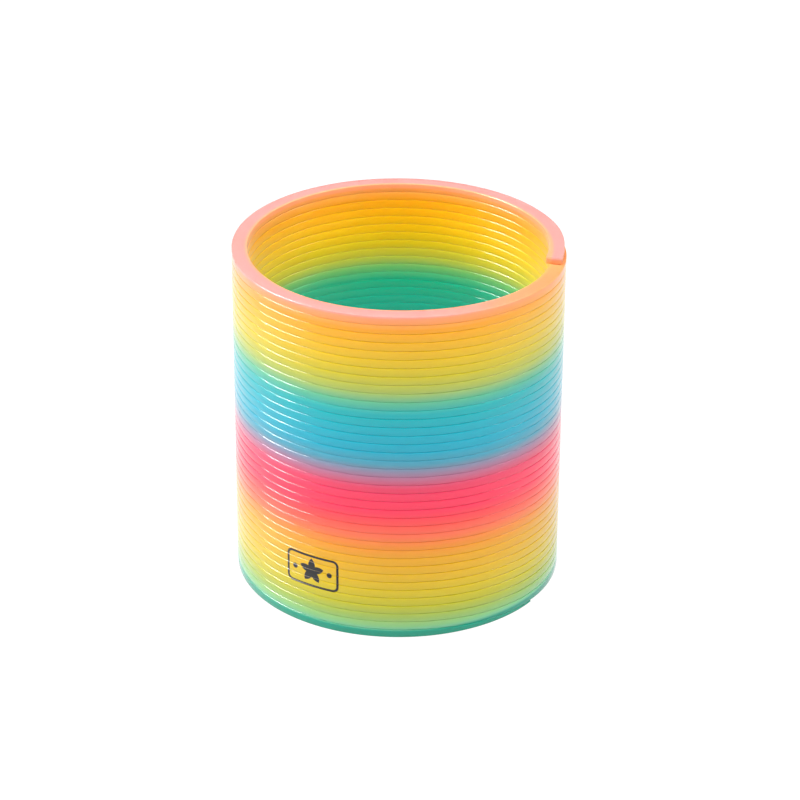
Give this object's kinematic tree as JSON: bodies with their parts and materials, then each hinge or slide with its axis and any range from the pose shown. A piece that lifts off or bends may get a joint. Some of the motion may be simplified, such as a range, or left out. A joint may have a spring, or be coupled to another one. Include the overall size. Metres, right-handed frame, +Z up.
{
  "type": "spring coil toy",
  "caption": "Closed cylindrical coil of flat glossy plastic strip in soft rainbow bands, open through the middle; it stretches along its axis and arches over sideways.",
  "frame": {"origin": "on the coil's axis, in the plane of the table it stands on", "axes": "+Z up along the coil's axis; -Y towards the viewer; the strip's upper free end bears 15 degrees towards -Y from +X, and its lower free end 35 degrees towards -Y from +X"},
  "size_m": [0.075, 0.075, 0.0803],
  "materials": {
    "mint_base": "glossy, slightly translucent moulded plastic",
    "lime_low": "glossy, slightly translucent moulded plastic",
    "lemon_low": "glossy, slightly translucent moulded plastic",
    "amber": "glossy, slightly translucent moulded plastic",
    "apricot": "glossy, slightly translucent moulded plastic",
    "coral": "glossy, slightly translucent moulded plastic",
    "rose": "glossy, slightly translucent moulded plastic",
    "lilac": "glossy, slightly translucent moulded plastic",
    "sky": "glossy, slightly translucent moulded plastic",
    "aqua": "glossy, slightly translucent moulded plastic",
    "mint_high": "glossy, slightly translucent moulded plastic",
    "lime_high": "glossy, slightly translucent moulded plastic",
    "lemon_high": "glossy, slightly translucent moulded plastic",
    "orange_high": "glossy, slightly translucent moulded plastic",
    "salmon_top": "glossy, slightly translucent moulded plastic"
  },
  "bodies": {
    "coil_segment_01": {"coil_segment_01": "mint_base"},
    "coil_segment_02": {"coil_segment_02": "mint_base"},
    "coil_segment_03": {"coil_segment_03": "mint_base"},
    "coil_segment_04": {"coil_segment_04": "lime_low"},
    "coil_segment_05": {"coil_segment_05": "lime_low"},
    "coil_segment_06": {"coil_segment_06": "lime_low"},
    "coil_segment_07": {"coil_segment_07": "lemon_low"},
    "coil_segment_08": {"coil_segment_08": "lemon_low"},
    "coil_segment_09": {"coil_segment_09": "lemon_low"},
    "coil_segment_10": {"coil_segment_10": "lemon_low"},
    "coil_segment_11": {"coil_segment_11": "amber"},
    "coil_segment_12": {"coil_segment_12": "amber"},
    "coil_segment_13": {"coil_segment_13": "amber"},
    "coil_segment_14": {"coil_segment_14": "amber"},
    "coil_segment_15": {"coil_segment_15": "amber"},
    "coil_segment_16": {"coil_segment_16": "amber"},
    "coil_segment_17": {"coil_segment_17": "apricot"},
    "coil_segment_18": {"coil_segment_18": "apricot"},
    "coil_segment_19": {"coil_segment_19": "apricot"},
    "coil_segment_20": {"coil_segment_20": "coral"},
    "coil_segment_21": {"coil_segment_21": "coral"},
    "coil_segment_22": {"coil_segment_22": "coral"},
    "coil_segment_23": {"coil_segment_23": "rose"},
    "coil_segment_24": {"coil_segment_24": "rose"},
    "coil_segment_25": {"coil_segment_25": "rose"},
    "coil_segment_26": {"coil_segment_26": "rose"},
    "coil_segment_27": {"coil_segment_27": "rose"},
    "coil_segment_28": {"coil_segment_28": "rose"},
    "coil_segment_29": {"coil_segment_29": "lilac"},
    "coil_segment_30": {"coil_segment_30": "lilac"},
    "coil_segment_31": {"coil_segment_31": "lilac"},
    "coil_segment_32": {"coil_segment_32": "sky"},
    "coil_segment_33": {"coil_segment_33": "sky"},
    "coil_segment_34": {"coil_segment_34": "sky"},
    "coil_segment_35": {"coil_segment_35": "sky"},
    "coil_segment_36": {"coil_segment_36": "sky"},
    "coil_segment_37": {"coil_segment_37": "sky"},
    "coil_segment_38": {"coil_segment_38": "aqua"},
    "coil_segment_39": {"coil_segment_39": "aqua"},
    "coil_segment_40": {"coil_segment_40": "aqua"},
    "coil_segment_41": {"coil_segment_41": "aqua"},
    "coil_segment_42": {"coil_segment_42": "aqua"},
    "coil_segment_43": {"coil_segment_43": "mint_high"},
    "coil_segment_44": {"coil_segment_44": "mint_high"},
    "coil_segment_45": {"coil_segment_45": "lime_high"},
    "coil_segment_46": {"coil_segment_46": "lime_high"},
    "coil_segment_47": {"coil_segment_47": "lime_high"},
    "coil_segment_48": {"coil_segment_48": "lemon_high"},
    "coil_segment_49": {"coil_segment_49": "lemon_high"},
    "coil_segment_50": {"coil_segment_50": "lemon_high"},
    "coil_segment_51": {"coil_segment_51": "lemon_high"},
    "coil_segment_52": {"coil_segment_52": "lemon_high"},
    "coil_segment_53": {"coil_segment_53": "lemon_high"},
    "coil_segment_54": {"coil_segment_54": "lemon_high"},
    "coil_segment_55": {"coil_segment_55": "lemon_high"},
    "coil_segment_56": {"coil_segment_56": "orange_high"},
    "coil_segment_57": {"coil_segment_57": "orange_high"},
    "coil_segment_58": {"coil_segment_58": "salmon_top"}
  },
  "joints": [
    {"name": "opening_a", "type": "hinge", "parent": "coil_segment_01", "child": "coil_segment_02", "pos_m": [0.03622, -0.00971, 0.00092], "axis": [0.2588, 0.9659, 0], "range_deg": [0, 9.4], "stiffness_Nm_per_rad": 0.05},
    {"name": "opening_b", "type": "hinge", "parent": "coil_segment_02", "child": "coil_segment_03", "pos_m": [-0.00971, 0.03622, 0.00295], "axis": [-0.9659, -0.2588, 0], "range_deg": [0, 9.4], "stiffness_Nm_per_rad": 0.05},
    {"name": "opening_c", "type": "hinge", "parent": "coil_segment_03", "child": "coil_segment_04", "pos_m": [-0.02652, -0.02652, 0.005], "axis": [0.7071, -0.7071, 0], "range_deg": [0, 9.4], "stiffness_Nm_per_rad": 0.05},
    {"name": "opening_a_02", "type": "hinge", "parent": "coil_segment_04", "child": "coil_segment_05", "pos_m": [0.03622, -0.00971, 0.00514], "axis": [0.2588, 0.9659, 0], "range_deg": [0, 9.4], "stiffness_Nm_per_rad": 0.05},
    {"name": "opening_b_02", "type": "hinge", "parent": "coil_segment_05", "child": "coil_segment_06", "pos_m": [-0.00971, 0.03622, 0.00705], "axis": [-0.9659, -0.2588, 0], "range_deg": [0, 9.4], "stiffness_Nm_per_rad": 0.05},
    {"name": "opening_c_02", "type": "hinge", "parent": "coil_segment_06", "child": "coil_segment_07", "pos_m": [-0.02652, -0.02652, 0.0091], "axis": [0.7071, -0.7071, 0], "range_deg": [0, 9.4], "stiffness_Nm_per_rad": 0.05},
    {"name": "opening_a_03", "type": "hinge", "parent": "coil_segment_07", "child": "coil_segment_08", "pos_m": [0.03622, -0.00971, 0.00939], "axis": [0.2588, 0.9659, 0], "range_deg": [0, 9.4], "stiffness_Nm_per_rad": 0.05},
    {"name": "opening_b_03", "type": "hinge", "parent": "coil_segment_08", "child": "coil_segment_09", "pos_m": [-0.00971, 0.03622, 0.01115], "axis": [-0.9659, -0.2588, 0], "range_deg": [0, 9.4], "stiffness_Nm_per_rad": 0.05},
    {"name": "opening_c_03", "type": "hinge", "parent": "coil_segment_09", "child": "coil_segment_10", "pos_m": [-0.02652, -0.02652, 0.0132], "axis": [0.7071, -0.7071, 0], "range_deg": [0, 9.4], "stiffness_Nm_per_rad": 0.05},
    {"name": "opening_a_04", "type": "hinge", "parent": "coil_segment_10", "child": "coil_segment_11", "pos_m": [0.03622, -0.00971, 0.01365], "axis": [0.2588, 0.9659, 0], "range_deg": [0, 9.4], "stiffness_Nm_per_rad": 0.05},
    {"name": "opening_b_04", "type": "hinge", "parent": "coil_segment_11", "child": "coil_segment_12", "pos_m": [-0.00971, 0.03622, 0.01525], "axis": [-0.9659, -0.2588, 0], "range_deg": [0, 9.4], "stiffness_Nm_per_rad": 0.05},
    {"name": "opening_c_04", "type": "hinge", "parent": "coil_segment_12", "child": "coil_segment_13", "pos_m": [-0.02652, -0.02652, 0.0173], "axis": [0.7071, -0.7071, 0], "range_deg": [0, 9.4], "stiffness_Nm_per_rad": 0.05},
    {"name": "opening_a_05", "type": "hinge", "parent": "coil_segment_13", "child": "coil_segment_14", "pos_m": [0.03622, -0.00971, 0.01791], "axis": [0.2588, 0.9659, 0], "range_deg": [0, 9.4], "stiffness_Nm_per_rad": 0.05},
    {"name": "opening_b_05", "type": "hinge", "parent": "coil_segment_14", "child": "coil_segment_15", "pos_m": [-0.00971, 0.03622, 0.01935], "axis": [-0.9659, -0.2588, 0], "range_deg": [0, 9.4], "stiffness_Nm_per_rad": 0.05},
    {"name": "opening_c_05", "type": "hinge", "parent": "coil_segment_15", "child": "coil_segment_16", "pos_m": [-0.02652, -0.02652, 0.0214], "axis": [0.7071, -0.7071, 0], "range_deg": [0, 9.4], "stiffness_Nm_per_rad": 0.05},
    {"name": "opening_a_06", "type": "hinge", "parent": "coil_segment_16", "child": "coil_segment_17", "pos_m": [0.03622, -0.00971, 0.02201], "axis": [0.2588, 0.9659, 0], "range_deg": [0, 9.4], "stiffness_Nm_per_rad": 0.05},
    {"name": "opening_b_06", "type": "hinge", "parent": "coil_segment_17", "child": "coil_segment_18", "pos_m": [-0.00971, 0.03622, 0.02345], "axis": [-0.9659, -0.2588, 0], "range_deg": [0, 9.4], "stiffness_Nm_per_rad": 0.05},
    {"name": "opening_c_06", "type": "hinge", "parent": "coil_segment_18", "child": "coil_segment_19", "pos_m": [-0.02652, -0.02652, 0.0255], "axis": [0.7071, -0.7071, 0], "range_deg": [0, 9.4], "stiffness_Nm_per_rad": 0.05},
    {"name": "opening_a_07", "type": "hinge", "parent": "coil_segment_19", "child": "coil_segment_20", "pos_m": [0.03622, -0.00971, 0.02611], "axis": [0.2588, 0.9659, 0], "range_deg": [0, 9.4], "stiffness_Nm_per_rad": 0.05},
    {"name": "opening_b_07", "type": "hinge", "parent": "coil_segment_20", "child": "coil_segment_21", "pos_m": [-0.00971, 0.03622, 0.02755], "axis": [-0.9659, -0.2588, 0], "range_deg": [0, 9.4], "stiffness_Nm_per_rad": 0.05},
    {"name": "opening_c_07", "type": "hinge", "parent": "coil_segment_21", "child": "coil_segment_22", "pos_m": [-0.02652, -0.02652, 0.0296], "axis": [0.7071, -0.7071, 0], "range_deg": [0, 9.4], "stiffness_Nm_per_rad": 0.05},
    {"name": "opening_a_08", "type": "hinge", "parent": "coil_segment_22", "child": "coil_segment_23", "pos_m": [0.03622, -0.00971, 0.03021], "axis": [0.2588, 0.9659, 0], "range_deg": [0, 9.4], "stiffness_Nm_per_rad": 0.05},
    {"name": "opening_b_08", "type": "hinge", "parent": "coil_segment_23", "child": "coil_segment_24", "pos_m": [-0.00971, 0.03622, 0.03165], "axis": [-0.9659, -0.2588, 0], "range_deg": [0, 9.4], "stiffness_Nm_per_rad": 0.05},
    {"name": "opening_c_08", "type": "hinge", "parent": "coil_segment_24", "child": "coil_segment_25", "pos_m": [-0.02652, -0.02652, 0.0337], "axis": [0.7071, -0.7071, 0], "range_deg": [0, 9.4], "stiffness_Nm_per_rad": 0.05},
    {"name": "opening_a_09", "type": "hinge", "parent": "coil_segment_25", "child": "coil_segment_26", "pos_m": [0.03622, -0.00971, 0.03431], "axis": [0.2588, 0.9659, 0], "range_deg": [0, 9.4], "stiffness_Nm_per_rad": 0.05},
    {"name": "opening_b_09", "type": "hinge", "parent": "coil_segment_26", "child": "coil_segment_27", "pos_m": [-0.00971, 0.03622, 0.03575], "axis": [-0.9659, -0.2588, 0], "range_deg": [0, 9.4], "stiffness_Nm_per_rad": 0.05},
    {"name": "opening_c_09", "type": "hinge", "parent": "coil_segment_27", "child": "coil_segment_28", "pos_m": [-0.02652, -0.02652, 0.0378], "axis": [0.7071, -0.7071, 0], "range_deg": [0, 9.4], "stiffness_Nm_per_rad": 0.05},
    {"name": "opening_a_10", "type": "hinge", "parent": "coil_segment_28", "child": "coil_segment_29", "pos_m": [0.03622, -0.00971, 0.03841], "axis": [0.2588, 0.9659, 0], "range_deg": [0, 9.4], "stiffness_Nm_per_rad": 0.05},
    {"name": "opening_b_10", "type": "hinge", "parent": "coil_segment_29", "child": "coil_segment_30", "pos_m": [-0.00971, 0.03622, 0.03985], "axis": [-0.9659, -0.2588, 0], "range_deg": [0, 9.4], "stiffness_Nm_per_rad": 0.05},
    {"name": "opening_c_10", "type": "hinge", "parent": "coil_segment_30", "child": "coil_segment_31", "pos_m": [-0.02652, -0.02652, 0.0419], "axis": [0.7071, -0.7071, 0], "range_deg": [0, 9.4], "stiffness_Nm_per_rad": 0.05},
    {"name": "opening_a_11", "type": "hinge", "parent": "coil_segment_31", "child": "coil_segment_32", "pos_m": [0.03622, -0.00971, 0.04251], "axis": [0.2588, 0.9659, 0], "range_deg": [0, 9.4], "stiffness_Nm_per_rad": 0.05},
    {"name": "opening_b_11", "type": "hinge", "parent": "coil_segment_32", "child": "coil_segment_33", "pos_m": [-0.00971, 0.03622, 0.04395], "axis": [-0.9659, -0.2588, 0], "range_deg": [0, 9.4], "stiffness_Nm_per_rad": 0.05},
    {"name": "opening_c_11", "type": "hinge", "parent": "coil_segment_33", "child": "coil_segment_34", "pos_m": [-0.02652, -0.02652, 0.046], "axis": [0.7071, -0.7071, 0], "range_deg": [0, 9.4], "stiffness_Nm_per_rad": 0.05},
    {"name": "opening_a_12", "type": "hinge", "parent": "coil_segment_34", "child": "coil_segment_35", "pos_m": [0.03622, -0.00971, 0.04661], "axis": [0.2588, 0.9659, 0], "range_deg": [0, 9.4], "stiffness_Nm_per_rad": 0.05},
    {"name": "opening_b_12", "type": "hinge", "parent": "coil_segment_35", "child": "coil_segment_36", "pos_m": [-0.00971, 0.03622, 0.04805], "axis": [-0.9659, -0.2588, 0], "range_deg": [0, 9.4], "stiffness_Nm_per_rad": 0.05},
    {"name": "opening_c_12", "type": "hinge", "parent": "coil_segment_36", "child": "coil_segment_37", "pos_m": [-0.02652, -0.02652, 0.0501], "axis": [0.7071, -0.7071, 0], "range_deg": [0, 9.4], "stiffness_Nm_per_rad": 0.05},
    {"name": "opening_a_13", "type": "hinge", "parent": "coil_segment_37", "child": "coil_segment_38", "pos_m": [0.03622, -0.00971, 0.05071], "axis": [0.2588, 0.9659, 0], "range_deg": [0, 9.4], "stiffness_Nm_per_rad": 0.05},
    {"name": "opening_b_13", "type": "hinge", "parent": "coil_segment_38", "child": "coil_segment_39", "pos_m": [-0.00971, 0.03622, 0.05215], "axis": [-0.9659, -0.2588, 0], "range_deg": [0, 9.4], "stiffness_Nm_per_rad": 0.05},
    {"name": "opening_c_13", "type": "hinge", "parent": "coil_segment_39", "child": "coil_segment_40", "pos_m": [-0.02652, -0.02652, 0.0542], "axis": [0.7071, -0.7071, 0], "range_deg": [0, 9.4], "stiffness_Nm_per_rad": 0.05},
    {"name": "opening_a_14", "type": "hinge", "parent": "coil_segment_40", "child": "coil_segment_41", "pos_m": [0.03622, -0.00971, 0.05481], "axis": [0.2588, 0.9659, 0], "range_deg": [0, 9.4], "stiffness_Nm_per_rad": 0.05},
    {"name": "opening_b_14", "type": "hinge", "parent": "coil_segment_41", "child": "coil_segment_42", "pos_m": [-0.00971, 0.03622, 0.05625], "axis": [-0.9659, -0.2588, 0], "range_deg": [0, 9.4], "stiffness_Nm_per_rad": 0.05},
    {"name": "opening_c_14", "type": "hinge", "parent": "coil_segment_42", "child": "coil_segment_43", "pos_m": [-0.02652, -0.02652, 0.0583], "axis": [0.7071, -0.7071, 0], "range_deg": [0, 9.4], "stiffness_Nm_per_rad": 0.05},
    {"name": "opening_a_15", "type": "hinge", "parent": "coil_segment_43", "child": "coil_segment_44", "pos_m": [0.03622, -0.00971, 0.05891], "axis": [0.2588, 0.9659, 0], "range_deg": [0, 9.4], "stiffness_Nm_per_rad": 0.05},
    {"name": "opening_b_15", "type": "hinge", "parent": "coil_segment_44", "child": "coil_segment_45", "pos_m": [-0.00971, 0.03622, 0.06035], "axis": [-0.9659, -0.2588, 0], "range_deg": [0, 9.4], "stiffness_Nm_per_rad": 0.05},
    {"name": "opening_c_15", "type": "hinge", "parent": "coil_segment_45", "child": "coil_segment_46", "pos_m": [-0.02652, -0.02652, 0.0624], "axis": [0.7071, -0.7071, 0], "range_deg": [0, 9.4], "stiffness_Nm_per_rad": 0.05},
    {"name": "opening_a_16", "type": "hinge", "parent": "coil_segment_46", "child": "coil_segment_47", "pos_m": [0.03622, -0.00971, 0.06301], "axis": [0.2588, 0.9659, 0], "range_deg": [0, 9.4], "stiffness_Nm_per_rad": 0.05},
    {"name": "opening_b_16", "type": "hinge", "parent": "coil_segment_47", "child": "coil_segment_48", "pos_m": [-0.00971, 0.03622, 0.06445], "axis": [-0.9659, -0.2588, 0], "range_deg": [0, 9.4], "stiffness_Nm_per_rad": 0.05},
    {"name": "opening_c_16", "type": "hinge", "parent": "coil_segment_48", "child": "coil_segment_49", "pos_m": [-0.02652, -0.02652, 0.0665], "axis": [0.7071, -0.7071, 0], "range_deg": [0, 9.4], "stiffness_Nm_per_rad": 0.05},
    {"name": "opening_a_17", "type": "hinge", "parent": "coil_segment_49", "child": "coil_segment_50", "pos_m": [0.03622, -0.00971, 0.06711], "axis": [0.2588, 0.9659, 0], "range_deg": [0, 9.4], "stiffness_Nm_per_rad": 0.05},
    {"name": "opening_b_17", "type": "hinge", "parent": "coil_segment_50", "child": "coil_segment_51", "pos_m": [-0.00971, 0.03622, 0.06855], "axis": [-0.9659, -0.2588, 0], "range_deg": [0, 9.4], "stiffness_Nm_per_rad": 0.05},
    {"name": "opening_c_17", "type": "hinge", "parent": "coil_segment_51", "child": "coil_segment_52", "pos_m": [-0.02652, -0.02652, 0.0706], "axis": [0.7071, -0.7071, 0], "range_deg": [0, 9.4], "stiffness_Nm_per_rad": 0.05},
    {"name": "opening_a_18", "type": "hinge", "parent": "coil_segment_52", "child": "coil_segment_53", "pos_m": [0.03622, -0.00971, 0.07121], "axis": [0.2588, 0.9659, 0], "range_deg": [0, 9.4], "stiffness_Nm_per_rad": 0.05},
    {"name": "opening_b_18", "type": "hinge", "parent": "coil_segment_53", "child": "coil_segment_54", "pos_m": [-0.00971, 0.03622, 0.07265], "axis": [-0.9659, -0.2588, 0], "range_deg": [0, 9.4], "stiffness_Nm_per_rad": 0.05},
    {"name": "opening_c_18", "type": "hinge", "parent": "coil_segment_54", "child": "coil_segment_55", "pos_m": [-0.02652, -0.02652, 0.0747], "axis": [0.7071, -0.7071, 0], "range_deg": [0, 9.4], "stiffness_Nm_per_rad": 0.05},
    {"name": "opening_a_19", "type": "hinge", "parent": "coil_segment_55", "child": "coil_segment_56", "pos_m": [0.03622, -0.00971, 0.07531], "axis": [0.2588, 0.9659, 0], "range_deg": [0, 9.4], "stiffness_Nm_per_rad": 0.05},
    {"name": "opening_b_19", "type": "hinge", "parent": "coil_segment_56", "child": "coil_segment_57", "pos_m": [-0.00971, 0.03622, 0.07675], "axis": [-0.9659, -0.2588, 0], "range_deg": [0, 9.4], "stiffness_Nm_per_rad": 0.05},
    {"name": "opening_c_19", "type": "hinge", "parent": "coil_segment_57", "child": "coil_segment_58", "pos_m": [-0.02652, -0.02652, 0.0788], "axis": [0.7071, -0.7071, 0], "range_deg": [0, 9.4], "stiffness_Nm_per_rad": 0.05}
  ],
  "couplings": [
    {"joint": "opening_a_02", "follows": "opening_a", "ratio": 1},
    {"joint": "opening_b_02", "follows": "opening_b", "ratio": 1},
    {"joint": "opening_c_02", "follows": "opening_c", "ratio": 1},
    {"joint": "opening_a_03", "follows": "opening_a", "ratio": 1},
    {"joint": "opening_b_03", "follows": "opening_b", "ratio": 1},
    {"joint": "opening_c_03", "follows": "opening_c", "ratio": 1},
    {"joint": "opening_a_04", "follows": "opening_a", "ratio": 1},
    {"joint": "opening_b_04", "follows": "opening_b", "ratio": 1},
    {"joint": "opening_c_04", "follows": "opening_c", "ratio": 1},
    {"joint": "opening_a_05", "follows": "opening_a", "ratio": 1},
    {"joint": "opening_b_05", "follows": "opening_b", "ratio": 1},
    {"joint": "opening_c_05", "follows": "opening_c", "ratio": 1},
    {"joint": "opening_a_06", "follows": "opening_a", "ratio": 1},
    {"joint": "opening_b_06", "follows": "opening_b", "ratio": 1},
    {"joint": "opening_c_06", "follows": "opening_c", "ratio": 1},
    {"joint": "opening_a_07", "follows": "opening_a", "ratio": 1},
    {"joint": "opening_b_07", "follows": "opening_b", "ratio": 1},
    {"joint": "opening_c_07", "follows": "opening_c", "ratio": 1},
    {"joint": "opening_a_08", "follows": "opening_a", "ratio": 1},
    {"joint": "opening_b_08", "follows": "opening_b", "ratio": 1},
    {"joint": "opening_c_08", "follows": "opening_c", "ratio": 1},
    {"joint": "opening_a_09", "follows": "opening_a", "ratio": 1},
    {"joint": "opening_b_09", "follows": "opening_b", "ratio": 1},
    {"joint": "opening_c_09", "follows": "opening_c", "ratio": 1},
    {"joint": "opening_a_10", "follows": "opening_a", "ratio": 1},
    {"joint": "opening_b_10", "follows": "opening_b", "ratio": 1},
    {"joint": "opening_c_10", "follows": "opening_c", "ratio": 1},
    {"joint": "opening_a_11", "follows": "opening_a", "ratio": 1},
    {"joint": "opening_b_11", "follows": "opening_b", "ratio": 1},
    {"joint": "opening_c_11", "follows": "opening_c", "ratio": 1},
    {"joint": "opening_a_12", "follows": "opening_a", "ratio": 1},
    {"joint": "opening_b_12", "follows": "opening_b", "ratio": 1},
    {"joint": "opening_c_12", "follows": "opening_c", "ratio": 1},
    {"joint": "opening_a_13", "follows": "opening_a", "ratio": 1},
    {"joint": "opening_b_13", "follows": "opening_b", "ratio": 1},
    {"joint": "opening_c_13", "follows": "opening_c", "ratio": 1},
    {"joint": "opening_a_14", "follows": "opening_a", "ratio": 1},
    {"joint": "opening_b_14", "follows": "opening_b", "ratio": 1},
    {"joint": "opening_c_14", "follows": "opening_c", "ratio": 1},
    {"joint": "opening_a_15", "follows": "opening_a", "ratio": 1},
    {"joint": "opening_b_15", "follows": "opening_b", "ratio": 1},
    {"joint": "opening_c_15", "follows": "opening_c", "ratio": 1},
    {"joint": "opening_a_16", "follows": "opening_a", "ratio": 1},
    {"joint": "opening_b_16", "follows": "opening_b", "ratio": 1},
    {"joint": "opening_c_16", "follows": "opening_c", "ratio": 1},
    {"joint": "opening_a_17", "follows": "opening_a", "ratio": 1},
    {"joint": "opening_b_17", "follows": "opening_b", "ratio": 1},
    {"joint": "opening_c_17", "follows": "opening_c", "ratio": 1},
    {"joint": "opening_a_18", "follows": "opening_a", "ratio": 1},
    {"joint": "opening_b_18", "follows": "opening_b", "ratio": 1},
    {"joint": "opening_c_18", "follows": "opening_c", "ratio": 1},
    {"joint": "opening_a_19", "follows": "opening_a", "ratio": 1},
    {"joint": "opening_b_19", "follows": "opening_b", "ratio": 1},
    {"joint": "opening_c_19", "follows": "opening_c", "ratio": 1}
  ]
}
